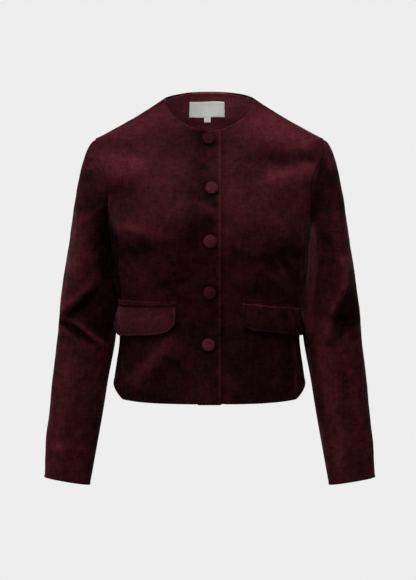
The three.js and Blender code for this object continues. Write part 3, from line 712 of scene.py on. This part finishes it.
def sleeve_form(angle):
    """The plain tube: the head, which follows the body's folds near the armhole, then ovals to the cuff."""
    shares = np.linspace(0, 1, HEAD_ROWS)[:-1, None] ** 1.15
    head = sleeve_head(angle * np.ones_like(shares), shares * np.ones_like(angle))
    edge, normals = armhole_lift(angle)
    away = shares[..., None]
    head = head + (edge - TUCK * normals * smooth_step(1 - away * 12)) * smooth_step(1 - away * 2)
    levels = mix(SLEEVE_TOP, CUFF, spaced(SLEEVE_TOP - CUFF, STEP)[5:, None])
    levels = np.concatenate([[[SLEEVE_TOP]], levels])
    return np.concatenate([head, sleeve_oval(angle, levels)])


def sleeve_lift(side, turn, x, y, z):
    """How far the arm's folds, its rest against the body and a faint unevenness push the cloth out."""
    lift = np.zeros(x.shape)
    for i, face in enumerate(SLEEVE_FOLDS["face"]):
        if SLEEVE_FOLDS["arm"][i] == side:
            lift = lift + fold_lift(SLEEVE_FOLDS, i, x, z) * (face * np.sin(turn) < 0)
    facing = smooth_step(np.abs(np.sin(turn)) * 1.6) * smooth_step((np.cos(turn) + 0.95) * 3)
    lift = lift * facing + CONTACT * smooth_step((-np.cos(turn) - 0.75) * 5) * resting(z)
    free = smooth_step((np.cos(turn) + 0.95) * 1.5)
    return lift + (0.7 * wavy(x, y, z, 80, 21 + side) + 0.3 * wavy(x, y, z, 28, 31 + side)) * free


def tube_normals(points):
    """Outward normals of a tube's grid, square to its rows and columns."""
    down = np.gradient(points, axis=0)
    around = np.roll(points, -1, axis=1) - np.roll(points, 1, axis=1)
    return unit(np.cross(around, down))


def sleeve(name, side, material):
    """One tube, worked out on the wearer's left and mirrored for the right arm."""
    angle = (np.arange(SLEEVE_AROUND) / SLEEVE_AROUND * 2 * math.pi)[None, :]
    points = sleeve_form(angle)
    x, y, z = np.moveaxis(points, -1, 0)
    turn = np.broadcast_to(angle, x.shape)
    lift = sleeve_lift(side, turn, x, y, z)
    points = points + np.stack([np.cos(turn) * lift, -np.sin(turn) * lift, 0 * lift], axis=-1)
    normals = tube_normals(points)
    gaps = edge_distances(*np.moveaxis(points, -1, 0))
    seam_depth = mix(0.9, 0.3, smooth_step(np.cos(turn) * 2)) * smooth_step((np.cos(turn) + 0.9) * 4)
    relief = turned_edge(gaps["top"], CUFF_TURN) + seam_edge(gaps["bottom"], seam_depth)
    thin = edge_round(np.minimum(gaps["top"], gaps["bottom"]), EDGE_ROUND)
    mirror = np.array([side, 1, 1])
    middle = (points + normals * (relief - CLOTH / 2)[..., None]) * mirror
    half = normals * (CLOTH / 2 * thin)[..., None] * mirror
    return wall(name, middle, half, material, sleeve_nap_shade(side, turn, x, y, z), wraps=True)


def beyond(x, z, x1, z1, x2, z2):
    """How far a place lies to the left of a line, seen from its first point to its second."""
    run_x, run_z = x2 - x1, z2 - z1
    return (run_x * (z - z1) - run_z * (x - x1)) / math.hypot(run_x, run_z)


def in_wedge(x, z, i):
    """A soft 1 inside a three-cornered place and 0 outside: the product of how far inside each edge it is."""
    corners = [(SLEEVE_WEDGE_SHADE[f"x{k}"][i], SLEEVE_WEDGE_SHADE[f"z{k}"][i]) for k in (1, 2, 3)]
    inside = 1.0
    for k, corner in enumerate(corners):
        following, opposite = corners[(k + 1) % 3], corners[(k + 2) % 3]
        turned = math.copysign(1, beyond(*opposite, *corner, *following))
        inside = inside * smooth_step(0.3 + turned * beyond(x, z, *corner, *following) / 11)
    return inside


# Painted light and shade on each sleeve's inner side where it rests against the body: darker on the right,
# lighter on the left
INNER_SHADING = {RIGHT: -0.3, LEFT: 0.42}


def sleeve_nap_shade(side, turn, x, y, z):
    """How light the nap is painted on a sleeve: a painted highlight on the arm's outer side, painted light
    and shade where it rests against the body, and the front's wedges and strokes of painted shade and
    highlight over a soft unevenness."""
    # Painted highlight on the arm's outer side
    total = SLEEVE_GROUND + 0.1 * smooth_step(np.cos(turn) * 1.4)
    total += 0.07 * wavy(x, y, z, 90, 41 + side) + 0.08 * wavy(x, y, z, 30, 51 + side)
    total += INNER_SHADING[side] * smooth_step((-np.cos(turn) - 0.55) * 4) * resting(z)
    front = smooth_step(np.sin(turn) * 2.5)
    for i, arm in enumerate(SLEEVE_WEDGE_SHADE["arm"]):
        if arm == side:
            total += SLEEVE_WEDGE_SHADE["gain"][i] * in_wedge(x, z, i) * front
    for i, arm in enumerate(SLEEVE_FOLD_SHADING["arm"]):
        if arm == side:
            total += fold_lift(SLEEVE_FOLD_SHADING, i, x, z) * front
    return total


# The pockets

# Each pocket: its inner end, the height of its top line there and the line's fall, the heights of its jet and
# flap at both ends, the flap's corner radius, how light its nap is, and the painted light along the slit:
# painted shade where negative, a painted highlight where positive
POCKETS = (
    {"name": "right", "side": RIGHT, "inner": 58, "top": -338.5, "fall": 0.05, "jets": (6.5, 10.5),
     "flaps": (50, 56), "corner": 22.0, "tone_and_painted_light": 0.34, "slit": -0.8},
    {"name": "left", "side": LEFT, "inner": 56, "top": -332, "fall": 0.235, "jets": (9, 5),
     "flaps": (46.5, 49.5), "corner": 14.0, "tone_and_painted_light": 0.0, "slit": 0.4},
)
POCKET_OUTER_END = 156
FLAP_THICKNESS = 2.5
JET_THICKNESS = 1.4
POCKET_LIFT = 0.8


def pocket_points(pocket, share, below, lift):
    """Places on the front from the inner end of the pocket (0) to its outer end (1), below its top line."""
    level = pocket["top"] - pocket["fall"] * share * (POCKET_OUTER_END - pocket["inner"]) - below
    turn = mix(angle_of_x(pocket["inner"], level), angle_of_x(POCKET_OUTER_END, level), share)
    return body_points(FRONT, *place_at(FRONT, pocket["side"], turn, level), level, lift)


def laid_piece(name, pocket, share, below, lift, thickness, relief_of, material, tone_and_painted_light, slit=0.0):
    """A piece of cloth laid on the front: rounded at its rim and raised by its edge relief. Its rows run
    down, and slit is the painted light along its upper edge: painted shade where negative, a painted
    highlight where positive."""
    plain, normals = pocket_points(pocket, share, below, lift + thickness / 2)
    gaps = edge_distances(*np.moveaxis(plain, -1, 0))
    rim = np.minimum.reduce([gaps["left"], gaps["right"], gaps["top"]])
    middle = plain + normals * relief_of(rim)[..., None]
    half = normals * (thickness / 2 * edge_round(gaps["nearest"], thickness * 0.6))[..., None]
    # Painted highlight on the rolled rim and painted shade in its stitch line, added to the piece's own tone
    nap = nap_shade(*np.moveaxis(plain, -1, 0), 61) + edge_highlight_and_groove_shade(rim) * 0.5 + tone_and_painted_light
    return wall(name, middle, half, material, nap + slit * bell(gaps["bottom"] / 2))


def jet(pocket, material):
    """The bound edge over the pocket's slit."""
    share = spaced(POCKET_OUTER_END - pocket["inner"], STEP, 1.2)[None, :]
    below = spaced(min(pocket["jets"]), 1.2, 1.2)[:, None] * mix(*pocket["jets"], share)
    return laid_piece("jet_cloth_" + pocket["name"], pocket, share, below, POCKET_LIFT, JET_THICKNESS,
                      lambda d: 0.35 * smooth_step(d / 4), material, pocket["tone_and_painted_light"] / 2)


def flap(pocket, material):
    """The flap: rounded lower corners, an edge rolled and sewn, standing off towards its outer corner."""
    length = POCKET_OUTER_END - pocket["inner"]
    share = spaced(length, POCKET_STEP, 1.6)[None, :]
    corner = pocket["corner"]
    into = np.maximum(0, 1 - np.minimum(share, 1 - share) * length / corner)
    height = mix(*pocket["flaps"], share) - corner * (1 - np.sqrt(np.maximum(0, 1 - into ** 2)))
    down = spaced(min(pocket["flaps"]), POCKET_STEP, 1.6)[:, None]
    below = mix(*pocket["jets"], share) + 0.3 + down * height
    away = down ** 1.5 * (2 + 6 * share ** 3)
    return laid_piece("flap_cloth_" + pocket["name"], pocket, share, below, POCKET_LIFT + away,
                      FLAP_THICKNESS, lambda d: 0.7 * turned_edge(d, 5), material, pocket["tone_and_painted_light"],
                      pocket["slit"])


# The buttons

BUTTON_PROFILE = table("radius rise", [
    (0.02, 1), (0.12, 1), (0.25, 0.99), (0.4, 0.975), (0.55, 0.95), (0.68, 0.91), (0.79, 0.86),
    (0.88, 0.78), (0.94, 0.67), (0.98, 0.51), (1, 0.3), (0.99, 0.12), (0.95, 0.04), (0.86, 0.01),
    (0.7, 0), (0.4, 0), (0.02, 0),
])


def fan(centre, ring, order):
    """Faces from a ring of points, two steps at a time, to the point in its middle, in the given order."""
    first = np.arange(0, len(ring), 2)
    corners = [np.full(len(first), centre)] + [ring[(first + k) % len(ring)] for k in order]
    return np.stack(corners, axis=-1)


def button(number, place, material):
    """A dome of cloth over a mould, its profile turned about its own axis: a low crown, a round shoulder with
    the cloth gathered below it, and a tucked back."""
    x, z = place
    turns = np.linspace(0, 2 * math.pi, BUTTON_AROUND, endpoint=False)[None, :]
    crown, rise = (BUTTON_PROFILE[column][:, None] for column in ("radius", "rise"))
    levels = np.arange(len(crown))[:, None]
    radius = crown * BUTTON_RADIUS + 0.1 * np.sin(turns * 14 + number) * bell((levels - 10.5) / 2.2)
    height = rise * BUTTON_HEIGHT + 0.06 * np.sin(turns * 3 + number) * crown
    spot = np.array(x), np.array(form_y(FRONT, x, z)), np.array(z)
    seat, out = body_points(FRONT, *spot, BUTTON_GAP)
    sideways = unit(np.cross([0, 0, 1], out))
    upwards = np.cross(out, sideways)
    points = seat + (radius * np.cos(turns))[..., None] * sideways
    points = points + (radius * np.sin(turns))[..., None] * upwards + height[..., None] * out
    rows, columns = points.shape[:2]
    ring, top = np.arange(columns), rows * columns
    faces = [grid_faces(rows, columns, 0, wraps=True), fan(top, ring, (2, 1, 0)),
             fan(top + 1, ring + top - columns, (0, 1, 2))]
    # Painted light and shade on each button, darker still in a ring of painted shade under its rounded rim
    rim = bell((levels - 9.5) / 2)
    shade = BUTTON_SHADING[number - 1] - 0.45 * rim + 0.1 * np.sin(turns * 3 + levels)
    nap = np.append(shade.ravel(), [BUTTON_SHADING[number - 1], 0.3])
    every = np.concatenate([points.reshape(-1, 3), np.stack([seat + BUTTON_HEIGHT * out, seat])])
    return new_mesh(f"covered_button_{number}", every, np.concatenate(faces), material, nap)


# Inside the neck

FACING_HALF = 76.2
FACING_DEPTH = CLOTH + 0.3
FACING_LOW = -72.0
FACING_ENDS = -34.0
LABEL_DEPTH = FACING_DEPTH + 1.7
TAB_DEPTH = LABEL_DEPTH - 0.4
LABEL = {"left": -36.0, "right": 27.0, "top": -8.0, "bottom": -36.5}
TAB = {"left": -9.5, "right": 2.0, "top": -35.5, "bottom": -46.0}


def inside_back(name, x, z, depth, thickness, relief, material):
    """A piece on the inside of the back, its outer face depth behind the back's own outer face."""
    y = form_y(BACK, x, z)
    plain, normals = body_points(BACK, x, y, z, -depth)
    gaps = edge_distances(*np.moveaxis(plain, -1, 0))
    middle = plain - normals * (relief(gaps["nearest"]) + thickness / 2)[..., None]
    half = normals * (thickness / 2 * edge_round(gaps["nearest"], 0.5))[..., None]
    # Painted shade on the facing's lower part, deep inside the neck
    nap = nap_shade(x, y, z, 71) - 0.5 * smooth_step((FACING_ENDS - z) / 18)
    return wall(name, middle, half, material, nap)


def facing(material):
    """The band of cloth inside the back of the neck, following the neck edge."""
    across = (spaced(2 * FACING_HALF, FACING_STEP) * 2 - 1)[None, :]
    top = top_edge(BACK, across * FACING_HALF) - 1.0
    bottom = mix(FACING_LOW, FACING_ENDS, across ** 4)
    z = mix(bottom, top, spaced(-FACING_LOW, FACING_STEP)[:, None])
    x = across * (FACING_HALF + 0.5 * np.maximum(0, -z))
    return inside_back("neck_facing", x, z, FACING_DEPTH, 1.0, lambda d: turned_edge(d, 4) * 0.8, material)


def woven_patch(name, place, depth, material, wave):
    """A woven piece inside the neck, slightly wavy because it is sewn down only along its edges."""
    wide, high = place["right"] - place["left"], place["top"] - place["bottom"]
    x = place["left"] + spaced(wide, LABEL_STEP, 0.8)[None, :] * wide
    z = place["bottom"] + spaced(high, LABEL_STEP, 0.8)[:, None] * high
    z = z + wave * np.sin(x / 9)
    return inside_back(name, x, z, depth, 0.6, lambda d: 0.25 * smooth_step(d / 3), material)


# Shader maths

class Value:
    """Wraps a socket, so that an expression on values adds its Math nodes."""

    def __init__(self, graph, socket):
        self.graph, self.socket = graph, socket

    def _math(self, operation, first, second):
        made = self.graph.node("ShaderNodeMath", {"operation": operation}, [first, second])
        return Value(self.graph, made.outputs[0])

    def __add__(self, other):
        return self._math("ADD", self, other)

    def __sub__(self, other):
        return self._math("SUBTRACT", self, other)

    def __mul__(self, other):
        return self._math("MULTIPLY", self, other)

    def __pow__(self, other):
        return self._math("POWER", self, other)

    def __rsub__(self, other):
        return self._math("SUBTRACT", other, self)

    __radd__ = __add__


class Graph:
    """A material's nodes, added by one method."""

    def __init__(self, name):
        self.material = bpy.data.materials.new(name)
        self.material.use_nodes = True
        self.tree = self.material.node_tree
        self.shader = self.tree.nodes["Principled BSDF"]

    def node(self, kind, settings=None, inputs=()):
        """A node of a kind, its settings made first, then its inputs by position or by name."""
        made = self.tree.nodes.new(kind)
        for key, value in (settings or {}).items():
            setattr(made, key, value)
        pairs = inputs.items() if isinstance(inputs, dict) else enumerate(inputs)
        for key, value in pairs:
            self.feed(made.inputs[key], value)
        return made

    def feed(self, socket, value):
        """Links a socket to a varying value, or sets it to a constant."""
        value = value.socket if isinstance(value, Value) else value
        if isinstance(value, bpy.types.NodeSocket):
            self.tree.links.new(value, socket)
        else:
            socket.default_value = value

    def surface(self, values):
        """Feeds the material's own shader."""
        for key, value in values.items():
            self.feed(self.shader.inputs[key], value)

    def place(self, scale=(1, 1, 1)):
        """Object coordinates, stretched."""
        coordinates = self.node("ShaderNodeTexCoord").outputs["Object"]
        return self.node("ShaderNodeMapping", {}, {"Vector": coordinates, "Scale": scale}).outputs[0]

    def noise(self, scale, stretch=(1, 1, 1), detail=2.0, rough=0.5, swirl=0.0):
        """Noise from 0 to 1 on stretched object coordinates."""
        inputs = {"Vector": self.place(stretch), "Scale": scale, "Detail": detail, "Roughness": rough,
                  "Distortion": swirl}
        return Value(self, self.node("ShaderNodeTexNoise", {}, inputs).outputs[0])

    def clamp(self, value, low=0.0, high=1.0):
        """A value kept between two others."""
        inputs = {"Value": value, "Min": low, "Max": high}
        return Value(self, self.node("ShaderNodeClamp", {}, inputs).outputs[0])

    def colour_mix(self, factor, low, high):
        """The colour a share of the way from low to high."""
        made = self.node("ShaderNodeMix", {"data_type": "RGBA"})
        self.feed(made.inputs[0], factor)
        self.feed(made.inputs[6], low)
        self.feed(made.inputs[7], high)
        return made.outputs[2]

    def bump(self, height, distance, strength, under=None):
        """A normal tilted by a height in metres times distance, over another normal where one is given."""
        inputs = {"Strength": strength, "Distance": distance, "Height": height}
        if under is not None:
            inputs["Normal"] = under
        return self.node("ShaderNodeBump", {}, inputs).outputs[0]


SHEEN_TINT = (0.56, 0.30, 0.32, 1)
PILE_SPECULAR = 0.025


def velvet(name, dark, light, sheen):
    """Cotton velveteen: a deep ground, lighter where the nap attribute holds painted highlights, darker where
    it holds painted shade, and a fine pile. The soft sheen is mixed in by the same share, less at glancing
    angles."""
    graph = Graph(name)
    nap = Value(graph, graph.node("ShaderNodeAttribute", {"attribute_name": "nap"}).outputs["Fac"])
    cloud = graph.noise(30, (1, 1, 0.7), 5, 0.62, 0.7) - 0.5
    upright = graph.noise(150, (1, 1, 0.35), 4, 0.7, 0.4) - 0.5
    level = graph.noise(150, (0.35, 0.35, 1), 4, 0.7, 0.4) - 0.5
    mottle = upright * 0.75 + level * 0.75
    speckle = graph.noise(480, (1, 1, 0.45), 2, 0.6) - 0.5
    ground = graph.clamp(nap, 0.05, 1.3)
    share = ground + (cloud * 1.1 + mottle * 1.9 + speckle * 1.1) * (ground * 0.85 + 0.14)
    colour = graph.colour_mix(graph.clamp(share), (*dark, 1), (*light, 1))
    stroke = graph.bump(cloud + mottle * 0.5, 0.0022, 0.6)
    fuzz = graph.bump(speckle, 0.0005, 0.7, stroke)
    common = {"Base Color": colour, "Roughness": 0.8 + cloud * 0.3, "Normal": fuzz,
              "Specular IOR Level": PILE_SPECULAR}
    graph.surface(common)
    graph.surface({"Sheen Weight": sheen, "Sheen Roughness": 0.3, "Sheen Tint": SHEEN_TINT})
    plain = graph.node("ShaderNodeBsdfPrincipled", {}, common)
    glancing = Value(graph, graph.node("ShaderNodeLayerWeight", {}, {"Blend": 0.5}).outputs["Facing"])
    sheen_share = graph.clamp(share * 1.6 * (1 - glancing ** 4))
    both = [sheen_share, plain.outputs[0], graph.shader.outputs[0]]
    graph.feed(graph.tree.nodes["Material Output"].inputs["Surface"],
               graph.node("ShaderNodeMixShader", {}, both).outputs[0])
    return graph.material


def woven_tape(name, colour, thread):
    """A pale satin label: fine crossing threads, a little darker between them, and a faint glow of painted
    light that makes it look brightly lit."""
    graph = Graph(name)

    def threads(direction, scale):
        settings = {"wave_type": "BANDS", "bands_direction": direction}
        inputs = {"Vector": graph.place(), "Scale": scale, "Distortion": 0.4}
        return Value(graph, graph.node("ShaderNodeTexWave", settings, inputs).outputs["Fac"])

    weave = threads("X", thread) * 0.6 + threads("Z", thread * 0.8) * 0.4
    cloudy = graph.noise(70, (1, 1, 1), 3)
    dark = tuple(0.86 * c for c in colour)
    share = weave * 0.5 + cloudy * 0.9
    graph.surface({"Base Color": graph.colour_mix(share, (*dark, 1), (*colour, 1)),
                   "Roughness": 0.5 + weave * 0.2, "Normal": graph.bump(weave, 0.00012, 0.7),
                   "Sheen Weight": 0.5, "Emission Color": (*colour, 1), "Emission Strength": 0.14})
    return graph.material


def plain_paper(name, colour):
    """The pale floor and backdrop, which only shine with their own colour."""
    graph = Graph(name)
    graph.surface({"Base Color": (0, 0, 0, 1), "Roughness": 1.0, "Specular IOR Level": 0.0,
                   "Emission Color": colour, "Emission Strength": 1.0})
    return graph.material


# The scene

PAPER = (0.855, 0.855, 0.855, 1)
FLOOR_LEVEL = -900.0
FLOOR_RADIUS = 9000
WALL_ROUND = 3000
CAMERA_DISTANCE = 3.5
CAMERA_ELEVATION = 9.0
CAMERA_TARGET = Vector((-0.0026, 0.0, -0.335))
SENSOR = 24.0
PHOTO_HEIGHT_M = 580 * 0.001752
WORLD_LIGHT = 0.16

# Each light: its name, its place, what it is aimed at, its size and its power
LIGHTS = (
    ("top", (-0.3, -1.3, 2.3), (0, 0, -0.2), 1.2, 88),
    ("left", (-2.3, -0.7, 0.7), (-0.1, 0, -0.3), 0.9, 20),
    ("right", (2.3, -0.7, 0.7), (0.1, 0, -0.3), 0.9, 9),
    ("front", (0.0, -3.4, 0.5), (0, 0, -0.05), 0.8, 22),
    ("behind", (0.3, 2.9, 0.5), (0, 0, -0.3), 1.3, 85),
)


def aimed(name, data, place, aim):
    """A camera or light at a place, turned to look at another."""
    made = put(name, data)
    made.location = place
    made.rotation_euler = (Vector(aim) - Vector(place)).to_track_quat("-Z", "Y").to_euler()
    return made


def camera():
    """Looks at the jacket from a little above, far off, with the photograph's frame upright."""
    data = bpy.data.cameras.new("camera")
    data.sensor_fit = "VERTICAL"
    data.sensor_height = SENSOR
    data.lens = SENSOR * CAMERA_DISTANCE / PHOTO_HEIGHT_M
    data.clip_end = 50
    angle = math.radians(CAMERA_ELEVATION)
    place = CAMERA_TARGET + CAMERA_DISTANCE * Vector((0, -math.cos(angle), math.sin(angle)))
    bpy.context.scene.camera = aimed("camera", data, place, CAMERA_TARGET)


def soft_light(name, place, aim, size, power):
    """A round area light."""
    data = bpy.data.lights.new(name, "AREA")
    data.shape = "DISK"
    data.size = size
    data.energy = power
    aimed(name, data, place, aim)


def backdrop():
    """A pale floor that curves up into a wall far behind, the same from every side."""
    turns = np.linspace(0, 2 * math.pi, 96, endpoint=False)[None, :]
    run = np.linspace(0, 1, 40)[:, None]
    curve = (run - 0.5) * math.pi
    radius = np.where(run < 0.5, run * 2 * FLOOR_RADIUS, FLOOR_RADIUS + WALL_ROUND * np.sin(curve))
    height = FLOOR_LEVEL + np.where(run < 0.5, 0, WALL_ROUND * (1 - np.cos(curve)) * 3)
    points = np.stack(np.broadcast_arrays(radius * np.cos(turns), radius * np.sin(turns), height), axis=-1)
    faces = grid_faces(*points.shape[:2], 0, wraps=True)
    paper = new_mesh("floor", points, faces, plain_paper("paper", PAPER))
    paper.visible_diffuse = False
    paper.visible_glossy = False


def studio():
    """A dim white world, the lights and plain colours."""
    world = bpy.data.worlds.new("studio")
    world.use_nodes = True
    world.node_tree.nodes["Background"].inputs[0].default_value = (1, 1, 1, 1)
    world.node_tree.nodes["Background"].inputs[1].default_value = WORLD_LIGHT
    bpy.context.scene.world = world
    for light in LIGHTS:
        soft_light(*light)
    bpy.context.scene.view_settings.view_transform = "Standard"


def dress(piece, node):
    """A finished piece rides on the body and stands for its solid."""
    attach(piece, "root")
    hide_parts(node)
    return piece


# The pieces made for both sides: how each is made, its flat size and its area in metres
PAIRED = {
    "front": (front_panel, (0.255, 0.54), 0.108),
    "side": (side_panel, (0.15, 0.39), 0.0435),
    "sleeve": (sleeve, (0.40, 0.62), 0.185),
}


def build():
    """Every piece, made and dressed."""
    cloth = velvet("velveteen", (0.0032, 0.0007, 0.0010), (0.067, 0.0100, 0.0156), 0.32)
    covered = velvet("button_velveteen", (0.012, 0.0018, 0.003), (0.075, 0.013, 0.019), 0.35)
    # The facing's velveteen is a lighter copy of the cloth's: painted light inside the neck
    inside = velvet("facing_velveteen_painted_lighter", (0.07, 0.012, 0.02), (0.38, 0.08, 0.11), 0.4)
    tape = woven_tape("label_tape_painted_glow", (0.95, 0.99, 0.95), 900)
    for word, side in (("right", RIGHT), ("left", LEFT)):
        for part, (make, flat, area) in PAIRED.items():
            dress(make(f"{part}_cloth_{word}", side, cloth), f"{part}_{word}")
    dress(back_panel(cloth), "back")
    for pocket in POCKETS:
        dress(jet(pocket, cloth), "jet_" + pocket["name"])
        dress(flap(pocket, cloth), "flap_" + pocket["name"])
    for number, place in enumerate(BUTTONS, 1):
        dress(button(number, place, covered), f"button_{number}")
    dress(facing(inside), "back_neck_facing")
    label = woven_patch("label_cloth", LABEL, LABEL_DEPTH, tape, 0.5)
    dress(label, "neck_label")
    tab = woven_patch("tab_cloth", TAB, TAB_DEPTH, tape, 0.0)
    dress(tab, "size_tab")


build()
backdrop()
studio()
camera()
